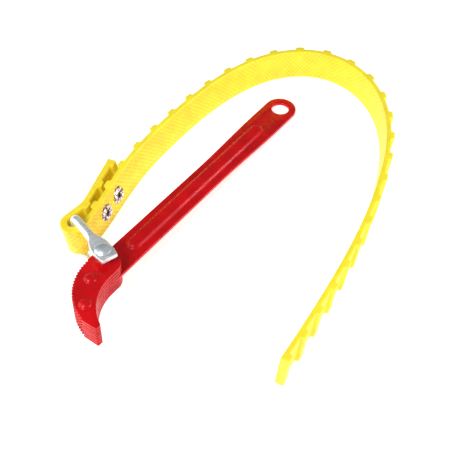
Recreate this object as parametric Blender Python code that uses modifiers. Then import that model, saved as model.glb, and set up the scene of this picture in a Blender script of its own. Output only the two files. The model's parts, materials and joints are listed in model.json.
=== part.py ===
"""Oil filter belt wrench, as it lies on a bench. Metres, +Z up.

A stamped steel handle ends in a toothed, crescent-shaped jaw that is thickened by three
loose plates above it and three below. Two rivets hold the jaw together. A pivot pin goes
through the jaw and through both eyes of a bent-rod shackle. A moulded belt with cross lugs
is looped round the shackle's crossbar and closed with two tubular rivets.

Two frames are used. The tool frame has its origin on the pin's axis in the middle of the
handle sheet, +X along the handle to the hanging hole, +Z along the pin. The tool lies on
its lower pin head and the end of the handle, so the tool frame dips towards +X. The belt
frame has its origin on the crossbar, and it lies almost flat.
"""

import math

import bmesh
import bpy
import numpy as np
from mathutils import Matrix, Vector

MM = 0.001
GAP = 0.3 * MM                      # clearance between neighbouring solids

# Handle
SHEET = 2.8 * MM                    # thickness of the handle sheet
HANDLE_Y = -3.0 * MM                # the handle's centre line passes beside the pin
HANDLE_HALF = 11.5 * MM             # half width at the jaw
HANDLE_WAIST = 11.2 * MM            # half width in the middle
HANDLE_END_R = 13.0 * MM            # half width and end radius at the hanging hole
HANDLE_END_X = 217.5 * MM           # centre of the round end and of the hole
WAIST_X = 120 * MM                  # the handle begins to widen here
FLARE_X = 196 * MM                  # and has its full end width here
HANG_HOLE_R = 7.2 * MM
RIB_FROM = 22 * MM                  # the pressed rib's ends along the handle
RIB_TO = 189 * MM
RIB_HALF = 6.6 * MM
RIB_ROUND = 2.6 * MM                # shoulder radius, also the rib's height
GROOVE_HALF = 4.4 * MM              # the rib's hollow underside
GROOVE_ROUND = 2.3 * MM

# Jaw
PLATES_PER_SIDE = 3
PLATE = 2.7 * MM
PLATE_PITCH = PLATE + GAP
JAW_OUTER_R = 42.3 * MM             # pitch radius of the toothed edge
JAW_OUTER_X = -8.2 * MM             # centre of the toothed edge, along the handle
JAW_INNER_R = 38 * MM               # radius of the hollow edge
JAW_INNER_X = -10 * MM
JAW_OUTER_END = 166                 # degrees: where the toothed edge meets the flat tip
JAW_TIP_Y = -36.5 * MM
TOOTH_COUNT = 21
TOOTH_DEPTH = 1.1 * MM
PLATE_END_X = -3 * MM               # centre of the plates' round end at the handle

# Rivets of the jaw and pivot pin
JAW_RIVETS = ((-19.7 * MM, -4.6 * MM), (-38.2 * MM, -16.8 * MM))
JAW_RIVET_R = 3 * MM
JAW_RIVET_HEAD_R = 4.8 * MM
JAW_RIVET_HEAD_H = 2.2 * MM
PIN_R = 4 * MM
PIN_HEAD_R = 6.4 * MM
PIN_HEAD_H = 3 * MM

# Shackle
ROD_R = 3.4 * MM
LEG_GAP = 28 * MM                   # clear height between the two legs
CROSSBAR_REACH = 40 * MM            # pin axis to crossbar axis
SHACKLE_ANGLE = math.radians(73.3)  # from the handle's +X to the shackle's length
ROD_BEND_R = 5 * MM
EYE = 4 * MM                        # thickness of the flattened eyes
EYE_EDGE = 0.5 * MM                 # bevel round the eyes
EYE_OUTLINE = ((19, 2.8), (14, 3.9), (8, 5.9), (3, 6.7), (-3, 6.6), (-8.1, 5.5))  # mm, half

# Belt
BELT_WIDTH = 25 * MM
BELT_THICK = 3.8 * MM
LUG_PITCH = 21.75 * MM
LUG_ROOT = 7.4 * MM                 # length of a lug along the belt at its root
LUG_CREST = 5.6 * MM
LUG_HEIGHT = 2.6 * MM
LUGS = 33
FIRST_LUG = 3.7 * MM                # centre of the first lug, along the belt
BELT_FROM = 0.9 * MM                # the belt is cut at the edge of its first lug
BELT_TO = 702.5 * MM                # and of its last one
# Bend of the belt in degrees per mm, at distances in mm from the folded end. The belt
# runs to the loop, round the crossbar, back past the rivets and on to its free end.
BELT_BEND = (
    (0, -0.2), (10, -0.2), (10, 0), (42, 0), (42, -2.4), (52, -2.4), (52, 0), (64.3, 0),
    (64.3, 7.54), (90, 7.54), (90, 0.48), (156, -0.28), (226, -0.07), (298, -0.39),
    (372, -1.07), (446, -0.57), (518, -0.17), (590, -0.1), (662, -0.03), (710, -0.07),
)
LOOP_FROM = 64.3 * MM
LOOP_TO = 90 * MM
LOOP_BEND = 7.54
HEADING_AT = 156 * MM               # a point on the belt where its heading is known
HEADING = math.radians(10.3)
LEAN_LOOP = 8.0                     # degrees that the belt leans away from the handle
LEAN_FIRST = 14.3                   # at HEADING_AT
LEAN_END = 0.5                      # at the free end
TRAIL_FROM = 330 * MM               # from here the lower edge runs ahead of the upper one
TRAIL_END = math.tan(math.radians(12.5))
BELT_DROP = -0.5 * MM               # the loop rests a little below the shackle's middle
BELT_RIVETS = (117.3 * MM, 136.1 * MM)  # along the belt's main run
BELT_RIVET_R = 2.5 * MM
BELT_RIVET_HEAD_R = 5.8 * MM
BELT_RIVET_HEAD_H = 1.5 * MM

# How the tool lies
TOOL_DIP = math.radians(5.27)       # the handle dips towards its end
BELT_DIP = math.radians(1.03)       # the belt dips less
BELT_ROLL = math.radians(1.9)       # and rises towards the loop

EYE_Z = LEG_GAP / 2 + ROD_R         # middle of an eye and of a leg
PIN_HALF = EYE_Z + EYE / 2 + GAP    # underside of a pin head
JAW_HALF = SHEET / 2 + PLATES_PER_SIDE * PLATE_PITCH


# ------------------------------------------------------------------ scene and helpers

def new_scene():
    for obj in list(bpy.data.objects):
        bpy.data.objects.remove(obj, do_unlink=True)
    parts = bpy.data.collections.new("oil_filter_wrench")
    cutters = bpy.data.collections.new("cutters")
    bpy.context.scene.collection.children.link(parts)
    bpy.context.scene.collection.children.link(cutters)
    return parts, cutters


PARTS, CUTTERS = new_scene()


def material(name, colour, roughness, metallic):
    mat = bpy.data.materials.new(name)
    mat.use_nodes = True
    shader = mat.node_tree.nodes["Principled BSDF"]
    shader.inputs["Base Color"].default_value = (*colour, 1)
    shader.inputs["Roughness"].default_value = roughness
    shader.inputs["Metallic"].default_value = metallic
    return mat


RED_PAINT = material("red_paint", (0.60, 0.01, 0.02), 0.25, 0.0)
ZINC = material("zinc_plate", (0.72, 0.75, 0.78), 0.25, 1.0)
DARK_STEEL = material("dark_steel", (0.30, 0.30, 0.32), 0.35, 1.0)
BELT_PLASTIC = material("belt_plastic", (0.95, 0.80, 0.04), 0.45, 0.0)


def empty(name, parent=None, location=(0, 0, 0), rotation=(0, 0, 0)):
    obj = bpy.data.objects.new(name, None)
    PARTS.objects.link(obj)
    obj.parent = parent
    obj.location = location
    obj.rotation_euler = rotation
    return obj


def place(obj, parent, mat, location=(0, 0, 0)):
    """Put a finished sub-part into the assembly."""
    obj.parent = parent
    obj.location = location
    obj.data.materials.clear()
    obj.data.materials.append(mat)
    return obj


def make_cutter(obj):
    for collection in obj.users_collection:
        collection.objects.unlink(obj)
    CUTTERS.objects.link(obj)
    obj.hide_render = True
    obj.display_type = "WIRE"


def boolean(obj, tool, operation, parent=None):
    """Join or cut obj with tool, which stays in the file as a hidden cutter."""
    make_cutter(tool)
    tool.parent = parent
    modifier = obj.modifiers.new(tool.name, "BOOLEAN")
    modifier.operation = operation
    modifier.solver = "EXACT"
    modifier.object = tool


def smooth(obj, angle=40):
    obj.data.shade_smooth()
    obj.data.set_sharp_from_angle(angle=math.radians(angle))


def arc(centre, radius, start, end, count):
    """Points on an arc, from one angle in degrees to the other, both included."""
    angles = [math.radians(start + (end - start) * i / (count - 1)) for i in range(count)]
    return [(centre[0] + radius * math.cos(a), centre[1] + radius * math.sin(a)) for a in angles]


def circle(centre, radius, count=32):
    return arc(centre, radius, 0, 360, count + 1)[:-1]


def flat(name, outlines, thickness, z=0.0, bevel=0.0, bevel_resolution=0):
    """A flat solid from closed outlines: the first is the edge, the others are holes."""
    curve = bpy.data.curves.new(name, "CURVE")
    curve.dimensions = "2D"
    curve.fill_mode = "BOTH"
    curve.extrude = thickness / 2
    curve.bevel_depth = bevel
    curve.bevel_resolution = bevel_resolution
    for outline in outlines:
        spline = curve.splines.new("POLY")
        spline.points.add(len(outline) - 1)
        for point, (x, y) in zip(spline.points, outline):
            point.co = (x, y, 0, 1)
        spline.use_cyclic_u = True
    obj = bpy.data.objects.new(name, curve)
    PARTS.objects.link(obj)
    obj.location.z = z
    return as_mesh(obj)


def as_mesh(obj):
    """Turn a curve object into a mesh object whose caps are welded on."""
    bpy.context.view_layer.update()
    evaluated = obj.evaluated_get(bpy.context.evaluated_depsgraph_get())
    mesh = bpy.data.meshes.new_from_object(evaluated)
    weld(mesh)
    solid = bpy.data.objects.new(obj.name, mesh)
    solid.matrix_world = obj.matrix_world.copy()
    PARTS.objects.link(solid)
    curve = obj.data
    bpy.data.objects.remove(obj, do_unlink=True)
    bpy.data.curves.remove(curve)
    solid.name = solid.name.split(".")[0]
    return solid


def weld(mesh):
    bm = bmesh.new()
    bm.from_mesh(mesh)
    bmesh.ops.remove_doubles(bm, verts=bm.verts, dist=0.00001)
    bmesh.ops.recalc_face_normals(bm, faces=bm.faces)
    bm.to_mesh(mesh)
    bm.free()


def turned(name, profile, segments=32):
    """A solid of revolution. The profile runs down its outer side, top to bottom."""
    mesh = bpy.data.meshes.new(name)
    edges = [(i, i + 1) for i in range(len(profile) - 1)]
    mesh.from_pydata([(r, 0, z) for r, z in profile], edges, [])
    obj = bpy.data.objects.new(name, mesh)
    PARTS.objects.link(obj)
    screw = obj.modifiers.new("turn", "SCREW")
    screw.steps = segments
    screw.render_steps = segments
    screw.use_merge_vertices = True
    screw.merge_threshold = 0.00001
    screw.use_smooth_shade = True
    return obj


def dome(radius, height, base, count=5):
    """Half profile of a domed head, from its middle to its rim. Heads that point down
    have a negative height, and their points run from the rim to the middle."""
    sphere = (radius**2 + height**2) / (2 * abs(height))
    rim = math.asin(radius / sphere)
    up = math.copysign(1, height)
    angles = [rim * i / (count - 1) for i in range(count)]
    points = [(sphere * math.sin(a), base + height - up * sphere * (1 - math.cos(a)))
              for a in angles]
    return points if height > 0 else points[::-1]


def two_headed(name, shank_r, head_r, head_h, low, high):
    """A pin or rivet along Z with a domed head above high and one below low."""
    profile = dome(head_r, head_h, high)
    profile += [(shank_r, high), (shank_r, low)]
    profile += dome(head_r, -head_h, low)
    return turned(name, profile)


# ------------------------------------------------------------------ handle and jaw

def toothed_edge():
    """The jaw's outer edge from the handle's side to the tip, with pointed teeth."""
    centre = (JAW_OUTER_X, HANDLE_Y + HANDLE_HALF - JAW_OUTER_R)
    step = (JAW_OUTER_END - 90) / TOOTH_COUNT
    points = []
    for i in range(TOOTH_COUNT):
        for part, radius in ((0.0, JAW_OUTER_R), (0.25, JAW_OUTER_R - TOOTH_DEPTH),
                             (0.55, JAW_OUTER_R - TOOTH_DEPTH), (0.8, JAW_OUTER_R)):
            angle = math.radians(90 + step * (i + part))
            points.append((centre[0] + radius * math.cos(angle),
                           centre[1] + radius * math.sin(angle)))
    return points + arc(centre, JAW_OUTER_R, JAW_OUTER_END - 0.5, JAW_OUTER_END, 2)


def jaw_tip_and_hollow():
    """From the toothed edge round the flat tip and back along the hollow edge."""
    centre = (JAW_INNER_X, HANDLE_Y - HANDLE_HALF - JAW_INNER_R)
    end = math.degrees(math.acos((JAW_TIP_Y - centre[1]) / JAW_INNER_R)) + 90
    hollow = arc(centre, JAW_INNER_R, end - 2, 90, 16)
    flat_x = JAW_OUTER_X + JAW_OUTER_R * math.cos(math.radians(JAW_OUTER_END))
    corner = 1.2 * MM
    tip = [(flat_x, JAW_TIP_Y + corner), (flat_x + 0.35 * corner, JAW_TIP_Y + 0.35 * corner),
           (flat_x + corner, JAW_TIP_Y), (hollow[0][0] - 0.8 * corner, JAW_TIP_Y)]
    return tip + hollow


def holes(extra=()):
    """Holes for the pivot pin and the jaw's rivets."""
    found = [circle((0, 0), PIN_R + GAP)]
    found += [circle(place_, JAW_RIVET_R + GAP, 24) for place_ in JAW_RIVETS]
    return found + list(extra)


def handle_side():
    """Half widths along the handle from the jaw to the round end."""
    points = [(10 * MM, HANDLE_HALF), (60 * MM, (HANDLE_HALF + HANDLE_WAIST) / 2)]
    for i in range(9):
        t = i / 8
        ease = t * t * (3 - 2 * t)
        points.append((WAIST_X + (FLARE_X - WAIST_X) * t,
                       HANDLE_WAIST + (HANDLE_END_R - HANDLE_WAIST) * ease))
    return points


def stadium(half_width):
    """Outline of the pressed rib, with round ends."""
    ends = (RIB_FROM + RIB_HALF, RIB_TO - RIB_HALF)
    return (arc((ends[1], HANDLE_Y), half_width, -90, 90, 9)
            + arc((ends[0], HANDLE_Y), half_width, 90, 270, 9))


def build_handle(parent):
    side = handle_side()
    outline = arc((HANDLE_END_X, HANDLE_Y), HANDLE_END_R, -90, 90, 25)
    outline += [(x, HANDLE_Y + half) for x, half in reversed(side)]
    outline += toothed_edge() + jaw_tip_and_hollow()
    outline += [(x, HANDLE_Y - half) for x, half in side]
    hang = circle((HANDLE_END_X, HANDLE_Y), HANG_HOLE_R)
    handle = flat("handle", [outline] + holes([hang]), SHEET)
    rib = flat("handle_rib", [stadium(RIB_HALF - RIB_ROUND)], 0.2 * MM, SHEET / 2,
               RIB_ROUND, 3)
    groove = flat("handle_groove", [stadium(GROOVE_HALF - GROOVE_ROUND)], 0.2 * MM,
                  -SHEET / 2, GROOVE_ROUND, 3)
    place(handle, parent, RED_PAINT)
    boolean(handle, rib, "UNION", parent)
    boolean(handle, groove, "DIFFERENCE", parent)
    smooth(handle)
    return handle


def build_jaw(parent):
    """The loose plates above and below the handle sheet, and their two rivets."""
    outline = arc((PLATE_END_X, HANDLE_Y), HANDLE_HALF, -90, 90, 17)
    outline += toothed_edge() + jaw_tip_and_hollow()
    first = (SHEET + PLATE) / 2 + GAP
    for side, sign in (("upper", 1), ("lower", -1)):
        for i in range(PLATES_PER_SIDE):
            z = sign * (first + i * PLATE_PITCH)
            plate = flat(f"jaw_plate_{side}_{i + 1}", [outline] + holes(), PLATE)
            place(plate, parent, RED_PAINT, (0, 0, z))
    reach = JAW_HALF + GAP
    for name, (x, y) in zip(("front", "rear"), JAW_RIVETS):
        rivet = two_headed(f"jaw_rivet_{name}", JAW_RIVET_R, JAW_RIVET_HEAD_R,
                           JAW_RIVET_HEAD_H, -reach, reach)
        place(rivet, parent, RED_PAINT, (x, y, 0))


def build_pin(parent):
    pin = two_headed("pivot_pin", PIN_R, PIN_HEAD_R, PIN_HEAD_H, -PIN_HALF, PIN_HALF)
    place(pin, parent, DARK_STEEL)


# ------------------------------------------------------------------ shackle

def shackle_route():
    """Centre line of the rod in its own plane: distance from the pin, and height."""
    corner = CROSSBAR_REACH - ROD_BEND_R
    start = EYE_OUTLINE[0][0] * MM - 4 * MM
    top = [(start, EYE_Z), ((start + corner) / 2, EYE_Z)]
    top += arc((corner, EYE_Z - ROD_BEND_R), ROD_BEND_R, 90, 0, 7)
    return top + [(u, -z) for u, z in reversed(top)]


def build_shackle(parent):
    """A bent rod along the empty's +X, with two flattened eyes on the pin's axis."""
    curve = bpy.data.curves.new("shackle", "CURVE")
    curve.dimensions = "3D"
    curve.bevel_depth = ROD_R
    curve.bevel_resolution = 4
    curve.use_fill_caps = True
    spline = curve.splines.new("POLY")
    route = shackle_route()
    spline.points.add(len(route) - 1)
    for point, (u, z) in zip(spline.points, route):
        point.co = (u, 0, z, 1)
    rod = bpy.data.objects.new("shackle", curve)
    PARTS.objects.link(rod)
    shackle = place(as_mesh(rod), parent, ZINC)
    half = [(u * MM, v * MM) for u, v in EYE_OUTLINE]
    outline = half + [(u, -v) for u, v in reversed(half)]
    for name, z in (("upper_eye", EYE_Z), ("lower_eye", -EYE_Z)):
        hole = circle((0, 0), PIN_R + GAP + EYE_EDGE)
        eye = flat(name, [outline, hole], EYE - 2 * EYE_EDGE, z, EYE_EDGE, 1)
        boolean(shackle, eye, "UNION", parent)
    smooth(shackle)
    return shackle


# ------------------------------------------------------------------ belt

def belt_route():
    """Distances along the belt's middle, with the place and heading at each.
    The loop is centred on the origin, and the heading at HEADING_AT is HEADING."""
    step = 0.25 * MM
    s = np.arange(0, BELT_TO + step / 2, step)
    at, bend = np.array(BELT_BEND).T
    turn = np.radians(np.interp(s / MM, at, bend)) * (step / MM)
    heading = np.concatenate([[0], np.cumsum((turn[1:] + turn[:-1]) / 2)])
    heading += HEADING - np.interp(HEADING_AT, s, heading)
    middle = (heading[1:] + heading[:-1]) / 2
    x = np.concatenate([[0], np.cumsum(np.cos(middle)) * step])
    y = np.concatenate([[0], np.cumsum(np.sin(middle)) * step])
    inside = (s >= LOOP_FROM) & (s <= LOOP_TO)
    radius = MM / math.radians(LOOP_BEND)
    cx = np.mean(x[inside] - radius * np.sin(heading[inside]))
    cy = np.mean(y[inside] + radius * np.cos(heading[inside]))
    return s, x - cx, y - cy, heading


ROUTE = belt_route()


def belt_section(s):
    """Middle of the belt at distance s, its outward normal and its width direction."""
    x, y, heading = (np.interp(s, ROUTE[0], values) for values in ROUTE[1:])
    after_loop = abs(s - (LOOP_FROM + LOOP_TO) / 2) - (LOOP_TO - LOOP_FROM) / 2
    first = HEADING_AT - LOOP_TO
    if after_loop <= 0:
        lean = LEAN_LOOP
    else:
        lean = np.interp(after_loop, (0, first, BELT_TO - LOOP_TO),
                         (LEAN_LOOP, LEAN_FIRST, LEAN_END))
    lean = math.radians(lean)
    out = Vector((-math.sin(heading), math.cos(heading), 0))
    if s < LOOP_TO:
        start = np.interp(LOOP_TO, ROUTE[0], ROUTE[3])
        side = Vector((-math.sin(start), math.cos(start), 0))
    else:
        side = out
    trail = np.interp(s, (TRAIL_FROM, BELT_TO), (0, TRAIL_END))
    ahead = Vector((math.cos(heading), math.sin(heading), 0)) * trail
    width = side * math.sin(lean) + Vector((0, 0, math.cos(lean))) - ahead
    return Vector((x, y, 0)) + ahead * (BELT_WIDTH / 2), out, width


def folded_opposite(s):
    """Distance along the belt of the point on its folded end that faces the point s."""
    fold = ROUTE[0] < LOOP_FROM
    middle = belt_section(s)[0]
    distance = np.hypot(ROUTE[1][fold] - middle.x, ROUTE[2][fold] - middle.y)
    return float(ROUTE[0][fold][distance.argmin()])


def lug_centres():
    """Distances along the belt of its lugs. There are none in the loop, round the rod."""
    centres = [FIRST_LUG + i * LUG_PITCH for i in range(LUGS)]
    return [s for s in centres if not LOOP_FROM - LUG_ROOT / 2 < s < LOOP_TO + LUG_ROOT / 2]


def belt_stations():
    """Distances along the belt where a cross-section is needed, with the lug height."""
    stations = {}
    for centre in lug_centres():
        for offset, height in ((LUG_ROOT / 2, 0), (LUG_CREST / 2, LUG_HEIGHT)):
            stations[centre - offset] = height
            stations[centre + offset] = height
        stations[centre] = LUG_HEIGHT
    slack = 1e-6
    stations = {s: lug for s, lug in stations.items()
                if BELT_FROM - slack <= s <= BELT_TO + slack}
    known = sorted(stations)
    for start, end in zip(known, known[1:]):
        in_loop = LOOP_FROM - LUG_PITCH < start < LOOP_TO
        count = max(1, round((end - start) / (2 * MM if in_loop else 5 * MM)))
        if stations[start] == stations[end] == 0:
            for i in range(1, count):
                stations[start + (end - start) * i / count] = 0
    return sorted(stations.items())


def build_belt(parent):
    """The belt as a loft of rectangles that follow its route, its lean and its lugs."""
    bm = bmesh.new()
    rings = []
    for s, lug in belt_stations():
        middle, out, width = belt_section(s)
        half = width * (BELT_WIDTH / 2)
        face, back = out * (-BELT_THICK / 2), out * (BELT_THICK / 2 + lug)
        corners = (middle + face - half, middle + face + half,
                   middle + back + half, middle + back - half)
        rings.append([bm.verts.new(corner) for corner in corners])
    for near, far in zip(rings, rings[1:]):
        for i in range(4):
            bm.faces.new((near[i], near[(i + 1) % 4], far[(i + 1) % 4], far[i]))
    bm.faces.new(rings[0])
    bm.faces.new(rings[-1])
    bmesh.ops.recalc_face_normals(bm, faces=bm.faces)
    mesh = bpy.data.meshes.new("belt")
    bm.to_mesh(mesh)
    bm.free()
    belt = bpy.data.objects.new("belt", mesh)
    PARTS.objects.link(belt)
    place(belt, parent, BELT_PLASTIC)
    smooth(belt, 30)
    return belt


def build_belt_rivets(belt, parent):
    """Rivets through the belt's main run and its folded end."""
    for name, s in zip(("near_loop", "far_from_loop"), BELT_RIVETS):
        inner, out, width = belt_section(s)
        outer = belt_section(folded_opposite(s))[0]
        axis = (out - width * out.dot(width)).normalized()
        layers = (outer - inner).dot(axis)
        low = -BELT_THICK / 2 - GAP
        high = layers + BELT_THICK / 2 + 1.5 * GAP
        turn = Matrix((width, axis.cross(width) * -1, axis)).transposed().to_4x4()
        where = Matrix.Translation(inner) @ turn
        rivet = two_headed(f"belt_rivet_{name}", BELT_RIVET_R, BELT_RIVET_HEAD_R,
                           BELT_RIVET_HEAD_H, low, high)
        place(rivet, parent, ZINC)
        rivet.matrix_local = where
        bpy.ops.mesh.primitive_cylinder_add(vertices=24, radius=BELT_RIVET_R + GAP,
                                            depth=2 * (high - low))
        drill = bpy.context.object
        drill.name = f"drill_{name}"
        boolean(belt, drill, "DIFFERENCE", parent)
        drill.matrix_local = where


# ------------------------------------------------------------------ assembly

def lie_on_ground(top):
    """Move the assembly so that its footprint is centred over the origin, at z = 0."""
    bpy.context.view_layer.update()
    graph = bpy.context.evaluated_depsgraph_get()
    corners = []
    for obj in PARTS.objects:
        if obj.type == "MESH":
            solid = obj.evaluated_get(graph)
            mesh = solid.to_mesh()
            corners += [solid.matrix_world @ vertex.co for vertex in mesh.vertices]
            solid.to_mesh_clear()
    low = [min(corner[i] for corner in corners) for i in range(3)]
    high = [max(corner[i] for corner in corners) for i in range(3)]
    top.location -= Vector(((low[0] + high[0]) / 2, (low[1] + high[1]) / 2, low[2]))


def main():
    tool = empty("tool_frame", None, (0, 0, 0), (0, TOOL_DIP, 0))
    build_handle(tool)
    build_jaw(tool)
    build_pin(tool)
    shackle_hinge = empty("shackle_hinge", tool, (0, 0, 0), (0, 0, SHACKLE_ANGLE))
    build_shackle(shackle_hinge)
    belt_hinge = empty("belt_hinge", shackle_hinge, (CROSSBAR_REACH, 0, 0),
                       (0, 0, -SHACKLE_ANGLE))
    belt_frame = empty("belt_frame", belt_hinge, (0, 0, BELT_DROP),
                       (BELT_ROLL, BELT_DIP - TOOL_DIP, 0))
    belt = build_belt(belt_frame)
    build_belt_rivets(belt, belt_frame)
    lie_on_ground(tool)


main()
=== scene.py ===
"""Looks of the oil filter belt wrench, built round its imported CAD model. Metres, +Z up.

The detailed pieces repeat the CAD model's driving dimensions. Pieces of the metal tool are
made in the tool frame (origin on the pin's axis, in the middle of the handle sheet, +X to
the hanging hole, +Z along the pin), and the belt in its own frame on the crossbar.
"""

import json
import math

import bmesh
import bpy
import numpy as np
from mathutils import Matrix, Vector


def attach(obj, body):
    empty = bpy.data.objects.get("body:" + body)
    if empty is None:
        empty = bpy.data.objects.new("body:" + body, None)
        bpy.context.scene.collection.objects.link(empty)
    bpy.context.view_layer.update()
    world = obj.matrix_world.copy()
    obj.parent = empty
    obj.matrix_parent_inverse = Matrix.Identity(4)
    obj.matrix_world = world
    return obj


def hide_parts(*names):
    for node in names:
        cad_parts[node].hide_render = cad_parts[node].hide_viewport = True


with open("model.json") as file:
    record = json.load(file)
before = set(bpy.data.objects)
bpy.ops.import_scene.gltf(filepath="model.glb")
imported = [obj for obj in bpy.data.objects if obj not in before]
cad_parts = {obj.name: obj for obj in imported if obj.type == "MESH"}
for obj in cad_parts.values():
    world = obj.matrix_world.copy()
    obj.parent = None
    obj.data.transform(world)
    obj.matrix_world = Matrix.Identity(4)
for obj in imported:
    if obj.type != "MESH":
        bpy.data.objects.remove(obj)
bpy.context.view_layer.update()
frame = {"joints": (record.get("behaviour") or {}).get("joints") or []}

MM = 0.001
TOOL = "handle_and_jaw"             # the CAD bodies
SHACKLE = "shackle"
BELT = "belt"

# ------------------------------------------------------------------ frames

JOINTS = {joint["name"]: joint for joint in frame["joints"]}
PIN_AT = Vector(JOINTS["shackle_swing"]["pos_m"])
CROSSBAR_AT = Vector(JOINTS["belt_swing"]["pos_m"])
PIN_AXIS = Vector(JOINTS["shackle_swing"]["axis"]).normalized()
SHACKLE_ANGLE = math.radians(73.3)
BELT_DROP = -0.5 * MM
BELT_DIP = math.radians(1.03)
BELT_ROLL = math.radians(1.9)


def axes_matrix(x, y, z, origin):
    matrix = Matrix((x, y, z)).transposed().to_4x4()
    matrix.translation = origin
    return matrix


TOOL_DIP = math.atan2(PIN_AXIS.x, PIN_AXIS.z)
TOOL_FRAME = Matrix.Translation(PIN_AT) @ Matrix.Rotation(TOOL_DIP, 4, "Y")
SHACKLE_FRAME = TOOL_FRAME @ Matrix.Rotation(SHACKLE_ANGLE, 4, "Z")
BELT_FRAME = (Matrix.Translation(CROSSBAR_AT) @ Matrix.Rotation(TOOL_DIP, 4, "Y")
              @ Matrix.Translation((0, 0, BELT_DROP))
              @ Matrix.Rotation(BELT_DIP - TOOL_DIP, 4, "Y")
              @ Matrix.Rotation(BELT_ROLL, 4, "X"))


# ------------------------------------------------------------------ materials

def principled(name, colour, roughness, metallic=0.0, **inputs):
    mat = bpy.data.materials.new(name)
    mat.use_nodes = True
    shader = mat.node_tree.nodes["Principled BSDF"]
    shader.inputs["Base Color"].default_value = (*colour, 1)
    shader.inputs["Roughness"].default_value = roughness
    shader.inputs["Metallic"].default_value = metallic
    for key, value in inputs.items():
        shader.inputs[key.replace("_", " ")].default_value = value
    return mat


def noise(mat, scale, detail=4.0, stretch=(1, 1, 1)):
    """Noise in the object's own metres, so that it is the same from every side."""
    tree = mat.node_tree
    place = tree.nodes.new("ShaderNodeTexCoord")
    mapping = tree.nodes.new("ShaderNodeMapping")
    mapping.inputs["Scale"].default_value = stretch
    texture = tree.nodes.new("ShaderNodeTexNoise")
    texture.inputs["Scale"].default_value = scale
    texture.inputs["Detail"].default_value = detail
    tree.links.new(place.outputs["Object"], mapping.inputs["Vector"])
    tree.links.new(mapping.outputs["Vector"], texture.inputs["Vector"])
    return texture.outputs["Fac"]


def ramp(mat, value, low, high, start=0.35, end=0.65):
    """Turn a value into a number or a colour that runs from low to high."""
    tree = mat.node_tree
    colours = isinstance(low, tuple)
    node = tree.nodes.new("ShaderNodeMapRange")
    node.inputs["From Min"].default_value = start
    node.inputs["From Max"].default_value = end
    node.inputs["To Min"].default_value = 0 if colours else low
    node.inputs["To Max"].default_value = 1 if colours else high
    tree.links.new(value, node.inputs["Value"])
    if not colours:
        return node.outputs["Result"]
    return blend(mat, node.outputs["Result"], low, high)


def blend(mat, factor, low, high):
    """Mix two colours by a linked factor. Either may be a linked colour."""
    tree = mat.node_tree
    node = tree.nodes.new("ShaderNodeMix")
    node.data_type = "RGBA"
    tree.links.new(factor, node.inputs["Factor"])
    for socket, colour in ((node.inputs[6], low), (node.inputs[7], high)):
        if isinstance(colour, tuple):
            socket.default_value = (*colour, 1)
        else:
            tree.links.new(colour, socket)
    return node.outputs[2]


def bump(mat, value, strength, distance=0.0003):
    tree = mat.node_tree
    node = tree.nodes.new("ShaderNodeBump")
    node.inputs["Strength"].default_value = strength
    node.inputs["Distance"].default_value = distance
    tree.links.new(value, node.inputs["Height"])
    shader = tree.nodes["Principled BSDF"]
    tree.links.new(node.outputs["Normal"], shader.inputs["Normal"])


def finish(mat, colour=None, roughness=None):
    shader = mat.node_tree.nodes["Principled BSDF"]
    for name, value in (("Base Color", colour), ("Roughness", roughness)):
        if value is not None:
            mat.node_tree.links.new(value, shader.inputs[name])
    return mat


def shade(colour, factor):
    return tuple(min(part * factor, 1.0) for part in colour)


def paint():
    """Enamel: a little orange peel, uneven gloss and slightly uneven cover."""
    base = (0.54, 0.002, 0.005)
    mat = principled("red_paint", base, 0.26, Specular_IOR_Level=0.15, Coat_Weight=0.12,
                     Coat_Roughness=0.06)
    cover = noise(mat, 60)
    peel = noise(mat, 900, 2)
    bump(mat, peel, 0.10)
    return finish(mat, ramp(mat, cover, shade(base, 0.84), shade(base, 1.12)),
                  ramp(mat, noise(mat, 140), 0.2, 0.36))


def metal(name, base, rough, streaks, metallic=1.0):
    """Plated or drawn steel: cloudy tone, streaks along one direction and small specks."""
    mat = principled(name, base, rough, metallic)
    cloud = ramp(mat, noise(mat, 110, 5), shade(base, 0.74), shade(base, 1.10))
    specks = ramp(mat, noise(mat, 1500, 2), 0.0, 0.55, 0.62, 0.74)
    lines = noise(mat, 500, 3, streaks)
    bump(mat, lines, 0.12)
    return finish(mat, blend(mat, specks, cloud, shade(base, 0.45)),
                  ramp(mat, lines, rough - 0.07, rough + 0.12))


def cast_metal(name, base, dark):
    """The rolled rivet head: bright metal, mottled with dark pits."""
    mat = principled(name, base, 0.3, 1.0)
    pits = noise(mat, 430, 5)
    bump(mat, pits, 0.5, 0.0005)
    return finish(mat, ramp(mat, pits, dark, base, 0.42, 0.56),
                  ramp(mat, pits, 0.6, 0.22, 0.38, 0.55))


def plastic(name, base, rough, coat=0.0, shade_colour=None):
    """Moulded belt plastic. Its optional darker colour is painted shade, which the knurled
    grooves and the loop turn to.
    """
    mat = principled(name, base, rough, Subsurface_Weight=0.12, Coat_Weight=coat,
                     Coat_Roughness=0.12, Subsurface_Radius=(0.006, 0.004, 0.001),
                     Subsurface_Scale=1.0)
    colour = ramp(mat, noise(mat, 90, 4), shade(base, 0.93), shade(base, 1.05))
    grain = noise(mat, 1100, 3)
    bump(mat, grain, 0.16)
    if shade_colour:
        # painted shade: a per-point amount, made uneven by noise, darkens the grooves and the
        # loop
        groove = mat.node_tree.nodes.new("ShaderNodeAttribute")
        groove.attribute_name = "groove"
        shade_amount = mat.node_tree.nodes.new("ShaderNodeMath")
        shade_amount.operation = "MULTIPLY"
        mat.node_tree.links.new(groove.outputs["Fac"], shade_amount.inputs[0])
        mat.node_tree.links.new(ramp(mat, noise(mat, 160), 0.55, 1.0), shade_amount.inputs[1])
        colour = blend(mat, shade_amount.outputs["Value"], colour, shade_colour)
    return finish(mat, colour, ramp(mat, grain, rough - 0.07, rough + 0.1))


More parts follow.
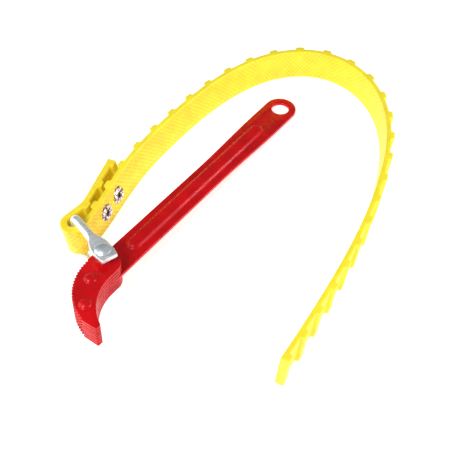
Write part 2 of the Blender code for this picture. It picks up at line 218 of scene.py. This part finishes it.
RED = paint()
ZINC = metal("zinc_plate", (0.86, 0.92, 0.96), 0.30, (1, 1, 6), metallic=0.75)
PIN_STEEL = metal("pin_steel", (0.70, 0.77, 0.82), 0.32, (5, 1, 5), metallic=0.75)
# painted shade: a dark copy of the pin steel for the shank, which sits in the gap under the eyes
SHADED_SHANK_STEEL = metal("shank_shade_steel", (0.10, 0.09, 0.09), 0.35, (1, 1, 8))
RIVET_METAL = cast_metal("rivet_metal", (0.84, 0.78, 0.77), (0.16, 0.11, 0.09))
# painted shade: near-black metal for the rivet's hole and the splits in its head
HOLE_SHADE = cast_metal("rivet_hole_shade", (0.07, 0.05, 0.04), (0.02, 0.015, 0.01))
# the belt's face; its darker colour is painted shade for the knurled grooves and the loop
YELLOW = plastic("belt_yellow", (0.98, 0.80, 0.030), 0.36, shade_colour=(0.70, 0.33, 0.006))
# painted highlight: a peach copy of the belt yellow for the belt's edges
EDGE_HIGHLIGHT_YELLOW = plastic("belt_edge_highlight", (1.0, 0.66, 0.16), 0.42)
# painted shade: a darker orange copy of the belt yellow, for the lug flanks and round the loop
SHADED_YELLOW = plastic("belt_shaded_copy", (1.0, 0.46, 0.012), 0.36)
# painted reflection: a pale copy of the belt yellow on the lugged back, for white surroundings
# mirrored at a grazing angle
REFLECTION_YELLOW = plastic("belt_back_reflection", (1.0, 0.93, 0.50), 0.2, coat=0.8)


# ------------------------------------------------------------------ helpers

def add(name, mesh, matrix, body, mats, replaced=(), smooth_angle=40):
    """Place a mesh made in a local frame as a visible piece that rides on a CAD body."""
    mesh.transform(matrix)
    mesh.materials.clear()
    for mat in mats:
        mesh.materials.append(mat)
    obj = bpy.data.objects.new(name, mesh)
    bpy.context.scene.collection.objects.link(obj)
    mesh.shade_smooth()
    mesh.set_sharp_from_angle(angle=math.radians(smooth_angle))
    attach(obj, body)
    if replaced:
        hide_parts(*replaced)
    return obj


def arc(centre, radius, start, end, count):
    angles = [math.radians(start + (end - start) * i / (count - 1)) for i in range(count)]
    return [(centre[0] + radius * math.cos(a), centre[1] + radius * math.sin(a)) for a in angles]


def circle(centre, radius, count=48):
    return arc(centre, radius, 0, 360, count + 1)[:-1]


def curve_mesh(name, outlines, thickness, bevel, z=0.0, bevel_resolution=2):
    """A flat solid with rounded edges from closed outlines, the first one its edge.
    The outlines are the finished ones: the rounding is taken from inside them."""
    curve = bpy.data.curves.new(name, "CURVE")
    curve.dimensions = "2D"
    curve.fill_mode = "BOTH"
    curve.extrude = thickness / 2 - bevel
    curve.bevel_depth = bevel
    curve.bevel_resolution = bevel_resolution
    curve.offset = -bevel
    for outline in outlines:
        spline = curve.splines.new("POLY")
        spline.points.add(len(outline) - 1)
        for point, (x, y) in zip(spline.points, outline):
            point.co = (x, y, 0, 1)
        spline.use_cyclic_u = True
    obj = bpy.data.objects.new(name, curve)
    bpy.context.scene.collection.objects.link(obj)
    bpy.context.view_layer.update()
    evaluated = obj.evaluated_get(bpy.context.evaluated_depsgraph_get())
    mesh = bpy.data.meshes.new_from_object(evaluated)
    bpy.data.objects.remove(obj, do_unlink=True)
    bpy.data.curves.remove(curve)
    bm = bmesh.new()
    bm.from_mesh(mesh)
    bmesh.ops.remove_doubles(bm, verts=bm.verts, dist=0.000005)
    bmesh.ops.recalc_face_normals(bm, faces=bm.faces)
    bmesh.ops.translate(bm, verts=bm.verts, vec=(0, 0, z))
    bm.to_mesh(mesh)
    bm.free()
    return mesh


def grid_mesh(name, rows, closed_u=False, closed_v=False, caps=False, slots=None,
              groove=None):
    """A mesh from rows of points. slots gives the material index of each quad, and
    groove(i, j) a value that each point carries for its material: on the belt, its amount of
    painted shade."""
    bm = bmesh.new()
    layer = bm.verts.layers.float.new("groove") if groove else None
    rings = [[bm.verts.new(point) for point in row] for row in rows]
    if groove:
        for i, ring in enumerate(rings):
            for j, vert in enumerate(ring):
                vert[layer] = groove(i, j)
    count_u, count_v = len(rings), len(rings[0])
    for i in range(count_u if closed_u else count_u - 1):
        for j in range(count_v if closed_v else count_v - 1):
            near, far = rings[i], rings[(i + 1) % count_u]
            k = (j + 1) % count_v
            face = bm.faces.new((near[j], near[k], far[k], far[j]))
            if slots:
                face.material_index = slots(i, j)
    if caps:
        for ring in (rings[0], rings[-1]):
            face = bm.faces.new(ring)
            if slots:
                face.material_index = slots(-1, -1)
    bmesh.ops.remove_doubles(bm, verts=bm.verts, dist=0.000002)
    bmesh.ops.recalc_face_normals(bm, faces=bm.faces)
    mesh = bpy.data.meshes.new(name)
    bm.to_mesh(mesh)
    bm.free()
    return mesh


def turned(name, profile, segments=64, slots=None):
    """A solid of revolution about Z from a profile of (radius, height) points."""
    rows = []
    for i in range(segments):
        a = 2 * math.pi * i / segments
        rows.append([(r * math.cos(a), r * math.sin(a), z) for r, z in profile])
    return grid_mesh(name, rows, closed_u=True, slots=slots)


def dome_profile(radius, height, base, up, count=12, rim=0.0):
    """From the middle of a domed head to its rim, which may stand on a short straight."""
    rise = height - rim
    sphere = (radius**2 + rise**2) / (2 * rise)
    limit = math.asin(radius / sphere)
    points = []
    for i in range(count):
        a = limit * i / (count - 1)
        points.append((sphere * math.sin(a), base + up * (height - sphere * (1 - math.cos(a)))))
    if rim:
        points.append((radius, base))
    return points


def smoothstep(low, high, x):
    t = np.clip((np.asarray(x, float) - low) / (high - low), 0, 1)
    return t * t * (3 - 2 * t)


# ------------------------------------------------------------------ handle and jaw

SHEET = 2.8 * MM
HANDLE_Y = -3.0 * MM
HANDLE_HALF = 11.5 * MM
HANDLE_WAIST = 11.2 * MM
HANDLE_END_R = 13.0 * MM
HANDLE_END_X = 217.5 * MM
WAIST_X = 120 * MM
FLARE_X = 196 * MM
HANG_HOLE_R = 7.2 * MM
RIB_FROM = 22 * MM
RIB_TO = 189 * MM
RIB_HALF = 6.9 * MM
RIB_HEIGHT = 2.75 * MM
PLATE = 2.7 * MM
PLATE_PITCH = 3.0 * MM
JAW_OUTER_R = 42.3 * MM
JAW_OUTER_X = -8.2 * MM
JAW_INNER_R = 38 * MM
JAW_INNER_X = -10 * MM
JAW_OUTER_END = 166
JAW_TIP_Y = -36.5 * MM
TOOTH_COUNT = 21
TOOTH_DEPTH = 1.1 * MM
PLATE_END_X = -3 * MM
JAW_RIVETS = ((-19.7 * MM, -4.6 * MM), (-38.2 * MM, -16.8 * MM))
PLATE_SHOWN = PLATE - 0.25 * MM     # drawn thinner, so that the gaps between them show
PLATE_EDGE = 0.5 * MM
PAINT_EDGE = 0.45 * MM              # rounding of the painted edges


def toothed_edge():
    centre = (JAW_OUTER_X, HANDLE_Y + HANDLE_HALF - JAW_OUTER_R)
    step = (JAW_OUTER_END - 90) / TOOTH_COUNT
    points = []
    for i in range(TOOTH_COUNT):
        for part, depth in ((0.0, 0.08), (0.12, 0.5), (0.27, 0.95), (0.42, 1.0), (0.57, 0.85),
                            (0.72, 0.35), (0.84, 0.0), (0.92, 0.0)):
            angle = math.radians(90 + step * (i + part))
            radius = JAW_OUTER_R - TOOTH_DEPTH * depth
            points.append((centre[0] + radius * math.cos(angle),
                           centre[1] + radius * math.sin(angle)))
    return points + arc(centre, JAW_OUTER_R, JAW_OUTER_END - 0.1, JAW_OUTER_END, 2)


def jaw_tip_and_hollow():
    centre = (JAW_INNER_X, HANDLE_Y - HANDLE_HALF - JAW_INNER_R)
    end = math.degrees(math.acos((JAW_TIP_Y - centre[1]) / JAW_INNER_R)) + 90
    hollow = arc(centre, JAW_INNER_R, end - 2, 90, 40)
    flat_x = JAW_OUTER_X + JAW_OUTER_R * math.cos(math.radians(JAW_OUTER_END))
    corner = 1.2 * MM
    tip = [(flat_x, JAW_TIP_Y + corner), (flat_x + 0.13 * corner, JAW_TIP_Y + 0.5 * corner),
           (flat_x + 0.5 * corner, JAW_TIP_Y + 0.13 * corner),
           (flat_x + corner, JAW_TIP_Y), (hollow[0][0] - 0.8 * corner, JAW_TIP_Y)]
    return tip + hollow


def handle_side():
    points = [(10 * MM, HANDLE_HALF), (60 * MM, (HANDLE_HALF + HANDLE_WAIST) / 2)]
    for i in range(17):
        t = i / 16
        ease = t * t * (3 - 2 * t)
        points.append((WAIST_X + (FLARE_X - WAIST_X) * t,
                       HANDLE_WAIST + (HANDLE_END_R - HANDLE_WAIST) * ease))
    return points


def build_handle():
    """The handle's sheet with rounded, painted edges, in place of the CAD handle. The rib
    is a skin laid on its upper side. The groove in its lower side is not drawn."""
    side = handle_side()
    outline = arc((HANDLE_END_X, HANDLE_Y), HANDLE_END_R, -90, 90, 49)
    outline += [(x, HANDLE_Y + half) for x, half in reversed(side)]
    outline += toothed_edge() + jaw_tip_and_hollow()
    outline += [(x, HANDLE_Y - half) for x, half in side]
    hang = circle((HANDLE_END_X, HANDLE_Y), HANG_HOLE_R)
    mesh = curve_mesh("handle_sheet", [outline, hang], SHEET, PAINT_EDGE)
    add("handle_sheet", mesh, TOOL_FRAME, TOOL, [RED], ["handle"])
    build_rib()


def rib_rows(half, height, base, direction):
    """A smooth raised strip with round ends, whose border meets a flat face evenly."""
    start, end = RIB_FROM + RIB_HALF, RIB_TO - RIB_HALF
    along = np.concatenate([start - half * np.cos(np.linspace(0, math.pi / 2, 14)),
                            np.linspace(start, end, 60)[1:-1],
                            end + half * np.sin(np.linspace(0, math.pi / 2, 14))])
    rows = []
    for x in along:
        beyond = max(start - x, x - end, 0)
        reach = math.sqrt(max(half**2 - beyond**2, 0))
        row = []
        for t in np.linspace(-1, 1, 41):
            y = reach * t
            edge = 1 - math.hypot(beyond, y) / half
            rise = float(smoothstep(0.0, 0.56, edge))
            crown = 1 - 0.05 * (abs(y) / half) ** 2
            row.append((x, HANDLE_Y + y, base + direction * height * rise * crown))
        rows.append(row)
    return rows


def build_rib():
    top = grid_mesh("rib", rib_rows(RIB_HALF, RIB_HEIGHT, SHEET / 2 + 0.01 * MM, 1))
    face_up(top, 1)
    add("handle_rib", top, TOOL_FRAME, TOOL, [RED])


def face_up(mesh, direction):
    """Turn an open skin so that its faces look along +Z, or -Z."""
    if sum(polygon.normal.z * polygon.area for polygon in mesh.polygons) * direction < 0:
        mesh.flip_normals()


def build_jaw():
    outline = arc((PLATE_END_X, HANDLE_Y), HANDLE_HALF, -90, 90, 33)
    outline += toothed_edge() + jaw_tip_and_hollow()
    for side, sign in (("upper", 1), ("lower", -1)):
        for i in range(3):
            name = f"jaw_plate_{side}_{i + 1}"
            z = sign * ((SHEET + PLATE) / 2 + 0.3 * MM + i * PLATE_PITCH)
            mesh = curve_mesh(name, [outline], PLATE_SHOWN, PLATE_EDGE, z)
            add(f"{name}_painted", mesh, TOOL_FRAME, TOOL, [RED], [name])
    jaw_half = SHEET / 2 + 3 * PLATE_PITCH
    for name, (x, y) in zip(("jaw_rivet_front", "jaw_rivet_rear"), JAW_RIVETS):
        skirt = 0.5 * MM
        profile = dome_profile(4.8 * MM, 2.5 * MM, jaw_half, 1)
        profile += [(4.8 * MM + skirt, jaw_half - 0.05 * MM), (0, jaw_half - 0.05 * MM)]
        top = turned(name, profile)
        low = turned(name, [(r, -z) for r, z in profile])
        both = join_meshes([top, low])
        matrix = TOOL_FRAME @ Matrix.Translation((x, y, 0))
        add(f"{name}_domes", both, matrix, TOOL, [RED], [name], 60)


def join_meshes(meshes):
    bm = bmesh.new()
    for mesh in meshes:
        bm.from_mesh(mesh)
    bmesh.ops.recalc_face_normals(bm, faces=bm.faces)
    joined = bpy.data.meshes.new(meshes[0].name)
    bm.to_mesh(joined)
    bm.free()
    return joined


# ------------------------------------------------------------------ pin and shackle

ROD_R = 3.4 * MM
LEG_GAP = 28 * MM
EYE = 4 * MM
EYE_Z = LEG_GAP / 2 + ROD_R
PIN_R = 4 * MM
PIN_HEAD_R = 6.4 * MM
PIN_HEAD_H = 3 * MM
REACH = 40 * MM
ROD_BEND_R = 5 * MM


def build_pin():
    half = EYE_Z + EYE / 2 + 0.3 * MM
    head = dome_profile(PIN_HEAD_R, PIN_HEAD_H, half, 1, 16, 0.5 * MM)
    head += [(PIN_R, half)]
    profile = head + [(r, -z) for r, z in reversed(head)]
    # the shank takes the dark steel: painted shade
    mesh = turned("pivot_pin", profile,
                  slots=lambda i, j: 1 if j == len(head) - 1 else 0)
    add("pivot_pin_turned", mesh, TOOL_FRAME, TOOL, [PIN_STEEL, SHADED_SHANK_STEEL],
        ["pivot_pin"])


def superellipse(width, height, power, count=48):
    points = []
    for i in range(count):
        a = 2 * math.pi * i / count
        c, s = math.cos(a), math.sin(a)
        points.append((math.copysign(abs(c) ** (2 / power), c) * width / 2,
                       math.copysign(abs(s) ** (2 / power), s) * height / 2))
    return points


def leg_section(u):
    """Width across, thickness and squareness of the leg at distance u from the pin."""
    at = (-8.6, -8.0, -3, 3, 8, 11, 13.5, 15.5, 18, 40)
    width = (12.4, 13.0, 14.4, 14.6, 13.0, 11.0, 8.6, 7.2, 6.8, 6.8)
    thick = (3.2, 4.0, 4.0, 4.0, 4.0, 4.1, 4.6, 5.9, 6.8, 6.8)
    power = (7, 7, 7, 7, 6, 5, 3.4, 2.3, 2, 2)
    u = u / MM
    return (float(np.interp(u, at, width)) * MM, float(np.interp(u, at, thick)) * MM,
            float(np.interp(u, at, power)))


def build_shackle():
    """One bent rod with both ends forged flat, lofted along its centre line."""
    corner = REACH - ROD_BEND_R
    path = [(u * MM, EYE_Z, 0) for u in
            (-8.6, -8.3, -7, -3, 0, 3, 6, 8, 10, 12, 13.5, 15, 16.5, 18, 19.5, 21, 25, 30)]
    for i in range(13):
        a = math.pi / 2 * (1 - i / 12)
        path.append((corner + ROD_BEND_R * math.cos(a),
                     EYE_Z - ROD_BEND_R + ROD_BEND_R * math.sin(a), math.pi / 2 - a))
    path += [(u, -z, math.pi - turn) for u, z, turn in reversed(path)]
    rows = []
    for u, z, turn in path:
        width, thick, power = leg_section(u)
        row = []
        for a, b in superellipse(width, thick, power):
            row.append((u + b * math.sin(turn), a, z + b * math.cos(turn)))
        rows.append(row)
    mesh = grid_mesh("shackle", rows, closed_v=True, caps=True)
    add("shackle_forged", mesh, SHACKLE_FRAME, SHACKLE, [ZINC], ["shackle"], 50)


# ------------------------------------------------------------------ belt

BELT_WIDTH = 25 * MM
BELT_THICK = 3.8 * MM
LUG_PITCH = 21.75 * MM
LUG_ROOT = 7.4 * MM
LUG_CREST = 5.6 * MM
LUG_HEIGHT = 2.6 * MM
LUGS = 33
FIRST_LUG = 3.7 * MM
BELT_FROM = 0.9 * MM
BELT_TO = 702.5 * MM
# Bend in degrees per mm at distances in mm, as in the CAD source. The values from 90 mm
# on, and HEADING, are rounded results of a least-squares fit.
BELT_BEND = (
    (0, -0.2), (10, -0.2), (10, 0), (42, 0), (42, -2.4), (52, -2.4), (52, 0), (64.3, 0),
    (64.3, 7.54), (90, 7.54), (90, 0.48), (156, -0.28), (226, -0.07), (298, -0.39),
    (372, -1.07), (446, -0.57), (518, -0.17), (590, -0.1), (662, -0.03), (710, -0.07),
)
LOOP_FROM = 64.3 * MM
LOOP_TO = 90 * MM
LOOP_BEND = 7.54
HEADING_AT = 156 * MM
HEADING = math.radians(10.3)
LEAN_LOOP = 8.0
LEAN_FIRST = 14.3
LEAN_END = 0.5
TRAIL_FROM = 330 * MM
TRAIL_END = math.tan(math.radians(12.5))
BELT_RIVETS = (117.3 * MM, 136.1 * MM)
RIVET_HEAD_R = 5.8 * MM
ROSETTE_SCALE = (1.13, 1.13, 1.1, 1)  # the rolled heads are drawn larger than in the CAD
KNURL_STEP = 0.65 * MM              # spacing of the belt's cross-sections
KNURL_STEPS = 6                     # from one groove to the next
KNURL_DEPTH = 0.36 * MM
LOOP_FILL = 1.8 * MM                # thickness added on the inside of the loop
ROD_CLEARANCE = 0.4 * MM
LOOP_SHADE_TO = 95 * MM                # painted shade: the folded end and the loop are a deeper yellow
COLUMNS = 35                        # points across the belt's face


def belt_route():
    step = 0.25 * MM
    s = np.arange(0, BELT_TO + 1.5 * step, step)
    at, bend = np.array(BELT_BEND).T
    turn = np.radians(np.interp(s / MM, at, bend)) * (step / MM)
    heading = np.concatenate([[0], np.cumsum((turn[1:] + turn[:-1]) / 2)])
    heading += HEADING - np.interp(HEADING_AT, s, heading)
    middle = (heading[1:] + heading[:-1]) / 2
    x = np.concatenate([[0], np.cumsum(np.cos(middle)) * step])
    y = np.concatenate([[0], np.cumsum(np.sin(middle)) * step])
    inside = (s >= LOOP_FROM) & (s <= LOOP_TO)
    radius = MM / math.radians(LOOP_BEND)
    cx = np.mean(x[inside] - radius * np.sin(heading[inside]))
    cy = np.mean(y[inside] + radius * np.cos(heading[inside]))
    return s, x - cx, y - cy, heading


ROUTE = belt_route()


def belt_section(s):
    """Middle of the belt at distance s, its outward normal and its width direction."""
    x, y, heading = (np.interp(s, ROUTE[0], values) for values in ROUTE[1:])
    after_loop = abs(s - (LOOP_FROM + LOOP_TO) / 2) - (LOOP_TO - LOOP_FROM) / 2
    first = HEADING_AT - LOOP_TO
    if after_loop <= 0:
        lean = LEAN_LOOP
    else:
        lean = np.interp(after_loop, (0, first, BELT_TO - LOOP_TO),
                         (LEAN_LOOP, LEAN_FIRST, LEAN_END))
    lean = math.radians(lean)
    out = Vector((-math.sin(heading), math.cos(heading), 0))
    if s < LOOP_TO:
        start = np.interp(LOOP_TO, ROUTE[0], ROUTE[3])
        side = Vector((-math.sin(start), math.cos(start), 0))
    else:
        side = out
    trail = np.interp(s, (TRAIL_FROM, BELT_TO), (0, TRAIL_END))
    ahead = Vector((math.cos(heading), math.sin(heading), 0)) * trail
    width = side * math.sin(lean) + Vector((0, 0, math.cos(lean))) - ahead
    return Vector((x, y, 0)) + ahead * (BELT_WIDTH / 2), out, width


def folded_opposite(s):
    fold = ROUTE[0] < LOOP_FROM
    middle = belt_section(s)[0]
    distance = np.hypot(ROUTE[1][fold] - middle.x, ROUTE[2][fold] - middle.y)
    return float(ROUTE[0][fold][distance.argmin()])


def lug_centres():
    centres = [FIRST_LUG + i * LUG_PITCH for i in range(LUGS)]
    return [s for s in centres if not LOOP_FROM - LUG_ROOT / 2 < s < LOOP_TO + LUG_ROOT / 2]


def lug_height(s):
    """How far the belt's lugged side stands out at distance s. Round the rod the lugs
    are pressed together into an even thickness."""
    nearest = min(abs(s - centre) for centre in lug_centres())
    lug = LUG_HEIGHT * float(np.interp(nearest, (LUG_CREST / 2, LUG_ROOT / 2), (1, 0)))
    run = 4 * MM
    pressed = np.interp(s, (LOOP_FROM - run, LOOP_FROM, LOOP_TO, LOOP_TO + run),
                        (0, 1, 1, 0)) * LOOP_FILL
    return max(lug, float(pressed))


def knurl(i, j):
    """1 where section i and column j of the belt's face lie in a diagonal groove."""
    crossing = (i + j) % KNURL_STEPS == 0 or (i - j) % KNURL_STEPS == 0
    return float(crossing and 1 <= j < COLUMNS - 1)


def shade_of_face(i, j):
    """How much painted shade the face takes: a deeper yellow in the grooves and round the loop.
    """
    s = BELT_FROM + i * KNURL_STEP
    loop = 0.7 * (1 - float(smoothstep(LOOP_SHADE_TO, LOOP_SHADE_TO + 60 * MM, s)))
    return 0.35 * loop + 0.55 * knurl(i, j)


def room_inside(middle, out, width, w):
    """How far the loop's inside may stand out at w across it, to stay off the rod."""
    rod = (BELT_FRAME.to_3x3().inverted() @ PIN_AXIS).normalized()
    offset = BELT_THICK / 2 + LOOP_FILL
    while offset > BELT_THICK / 2:
        point = middle + out * offset + width * w
        if (point - rod * point.dot(rod)).length > ROD_R + ROD_CLEARANCE:
            break
        offset -= 0.05 * MM
    return offset


def build_belt():
    count = round((BELT_TO - BELT_FROM) / KNURL_STEP)
    stations = [BELT_FROM + (BELT_TO - BELT_FROM) * i / count for i in range(count + 1)]
    half = BELT_WIDTH / 2
    soft = 0.5 * MM
    columns = np.linspace(-half + soft, half - soft, COLUMNS)
    rows = []
    for i, s in enumerate(stations):
        middle, out, width = belt_section(s)
        back = BELT_THICK / 2 + lug_height(s)
        face = -BELT_THICK / 2
        ring = [(face + KNURL_DEPTH * knurl(i, j), w) for j, w in enumerate(columns)]
        ring += [(face + 0.15 * MM, half - 0.15 * MM), (face + soft, half)]
        ring += [(0, half), (BELT_THICK / 2 - soft, half), (back - soft, half)]
        ring += [(back - 0.15 * MM, half - 0.15 * MM)]
        ring += [(back, w) for w in (half - soft, half / 2, 0, -half / 2, -half + soft)]
        ring += [(back - 0.15 * MM, -half + 0.15 * MM), (back - soft, -half)]
        ring += [(BELT_THICK / 2 - soft, -half), (0, -half), (face + soft, -half)]
        ring += [(face + 0.15 * MM, -half + 0.15 * MM)]
        if LOOP_FROM - 5 * MM < s < LOOP_TO + 5 * MM:
            ring = [(min(o, room_inside(middle, out, width, w)), w) for o, w in ring]
        rows.append([middle + out * o + width * w for o, w in ring])
    edge = len(columns)
    lugs = [lug_height(s) for s in stations]

    # slots: 0 the face, 1 the edges with painted highlight, 2 painted shade on the lug flanks
    # and round the loop, 3 the back with painted reflection
    def slots(i, j):
        if i < 0:
            return 2
        rise = abs(lugs[i + 1] - lugs[i]) > 0.2 * LUG_HEIGHT
        raised = lugs[i] + lugs[i + 1] > LUG_HEIGHT
        if j < edge - 1:
            return 0
        if edge + 4 <= j < edge + 12:
            return 2 if rise or stations[i] < LOOP_SHADE_TO else 3
        loop_shaded = stations[i] < LOOP_SHADE_TO
        return 2 if loop_shaded or raised and edge + 2 <= j < edge + 14 else 1

    mesh = grid_mesh("belt", rows, closed_v=True, caps=True, slots=slots,
                     groove=shade_of_face)
    add("belt_knurled", mesh, BELT_FRAME, BELT,
        [YELLOW, EDGE_HIGHLIGHT_YELLOW, SHADED_YELLOW, REFLECTION_YELLOW], ["belt"], 35)


def rosette(petals=7, around=84):
    """The rolled head of a tubular rivet: a ring split into petals round a hole, whose wall and
    splits are given painted shade.
    """
    rows = []
    radii = (1.7, 1.75, 2.4, 3.3, 4.2, 5.0, 5.55, 5.8, 5.8)
    heights = (-1.2, 0.35, 1.05, 1.3, 1.2, 0.85, 0.45, 0.1, -0.3)
    for i in range(around):
        a = 2 * math.pi * i / around
        split = abs(((petals * i / around) % 1) * 2 - 1)
        notch = 1 - 0.75 * float(smoothstep(0.72, 0.96, split))
        row = []
        for r, z in zip(radii, heights):
            wobble = 1 + 0.03 * math.sin(3 * a + 1)
            ring = 0.15 + 0.85 * notch if r > 2.0 else 1.0
            row.append((r * wobble * math.cos(a) * MM, r * wobble * math.sin(a) * MM,
                        (z * ring if z > 0 else z) * MM))
        rows.append(row)
    return rows, petals


def build_belt_rivets():
    for name, s in zip(("near_loop", "far_from_loop"), BELT_RIVETS):
        inner, out, width = belt_section(s)
        outer = belt_section(folded_opposite(s))[0]
        axis = (out - width * out.dot(width)).normalized()
        layers = (outer - inner).dot(axis)
        turn = Matrix((width, axis.cross(width) * -1, axis)).transposed().to_4x4()
        where = BELT_FRAME @ Matrix.Translation(inner) @ turn
        rows, petals = rosette()

        # painted shade on the hole's wall and in the splits between the petals
        def slots(i, j, petals=petals, around=len(rows)):
            split = abs(((petals * i / around) % 1) * 2 - 1)
            return 1 if j < 1 or (split > 0.86 and 1 <= j < 6) else 0

        head = grid_mesh("rivet", rows, closed_u=True, slots=slots)
        head.transform(Matrix.Diagonal(ROSETTE_SCALE))
        head.transform(Matrix.Rotation(math.pi, 4, "X"))
        head.transform(Matrix.Translation((0, 0, -BELT_THICK / 2 - 0.3 * MM)))
        add(f"belt_rivet_{name}_rosette", head, where, BELT, [RIVET_METAL, HOLE_SHADE],
            [f"belt_rivet_{name}"], 60)
        # painted shade: a dark disc closes the hole
        shade_disc = turned("shade_disc", [(0, 0), (2.0 * MM, 0)], 32)
        shade_disc.transform(Matrix.Translation((0, 0, -BELT_THICK / 2 - 0.05 * MM)))
        face_up(shade_disc, -1)
        add(f"belt_rivet_{name}_bore", shade_disc, where, BELT, [HOLE_SHADE])
        flange = dome_profile(RIVET_HEAD_R, 1.4 * MM, layers + BELT_THICK / 2 + 0.3 * MM, 1)
        flange += [(RIVET_HEAD_R, layers + BELT_THICK / 2)]
        add(f"belt_rivet_{name}_flange", turned("flange", flange, 48), where, BELT,
            [RIVET_METAL])


# ------------------------------------------------------------------ stage

def build_stage():
    bpy.ops.mesh.primitive_plane_add(size=40, location=(0, 0, -0.0002))
    floor = bpy.context.object
    floor.name = "floor"
    floor.data.materials.append(principled("floor_white", (0.92, 0.92, 0.92), 0.9,
                                           Emission_Color=(1, 1, 1, 1),
                                           Emission_Strength=0.65))
    world = bpy.data.worlds.new("studio")
    bpy.context.scene.world = world
    bpy.context.scene.view_settings.view_transform = "Standard"
    world.use_nodes = True
    sky = world.node_tree.nodes["Background"]
    sky.inputs["Color"].default_value = (1, 1, 1, 1)
    sky.inputs["Strength"].default_value = 0.3


def area_light(name, location, target, size, power, size_y=None):
    data = bpy.data.lights.new(name, "AREA")
    data.energy = power
    data.size = size
    if size_y:
        data.shape = "RECTANGLE"
        data.size_y = size_y
    obj = bpy.data.objects.new(name, data)
    bpy.context.scene.collection.objects.link(obj)
    obj.location = location
    obj.rotation_mode = "QUATERNION"
    aim = Vector(target) - Vector(location)
    obj.rotation_quaternion = aim.to_track_quat("-Z", "Y")
    return obj


def build_lights():
    area_light("key", (-0.75, 0.1, 0.8), (0, 0, 0), 0.5, 8.5)
    area_light("low_right", (0.45, -0.9, 0.28), (0, 0, 0), 0.7, 7.5, 0.3)
    area_light("left", (-0.5, 0.75, 0.4), (0, 0, 0), 0.5, 2)


# The camera, measured from the floor under the pin. These are results of a fit.
CAMERA_LENS = 72.56
CAMERA_FROM_PIN = Vector((-0.2359, -0.3062, 0.5504))
CAMERA_RIGHT = Vector((0.5944, -0.8033, -0.0384))
CAMERA_UP = Vector((0.6506, 0.4522, 0.6101))


def build_camera():
    data = bpy.data.cameras.new("camera")
    data.lens = CAMERA_LENS
    data.sensor_width = 36
    data.clip_start = 0.01
    data.clip_end = 20
    camera = bpy.data.objects.new("camera", data)
    bpy.context.scene.collection.objects.link(camera)
    ground = Vector((PIN_AT.x, PIN_AT.y, 0))
    camera.matrix_world = axes_matrix(CAMERA_RIGHT, CAMERA_UP,
                                      CAMERA_RIGHT.cross(CAMERA_UP),
                                      ground + CAMERA_FROM_PIN)
    bpy.context.scene.camera = camera


build_handle()
build_jaw()
build_pin()
build_shackle()
build_belt()
build_belt_rivets()
build_stage()
build_lights()
build_camera()
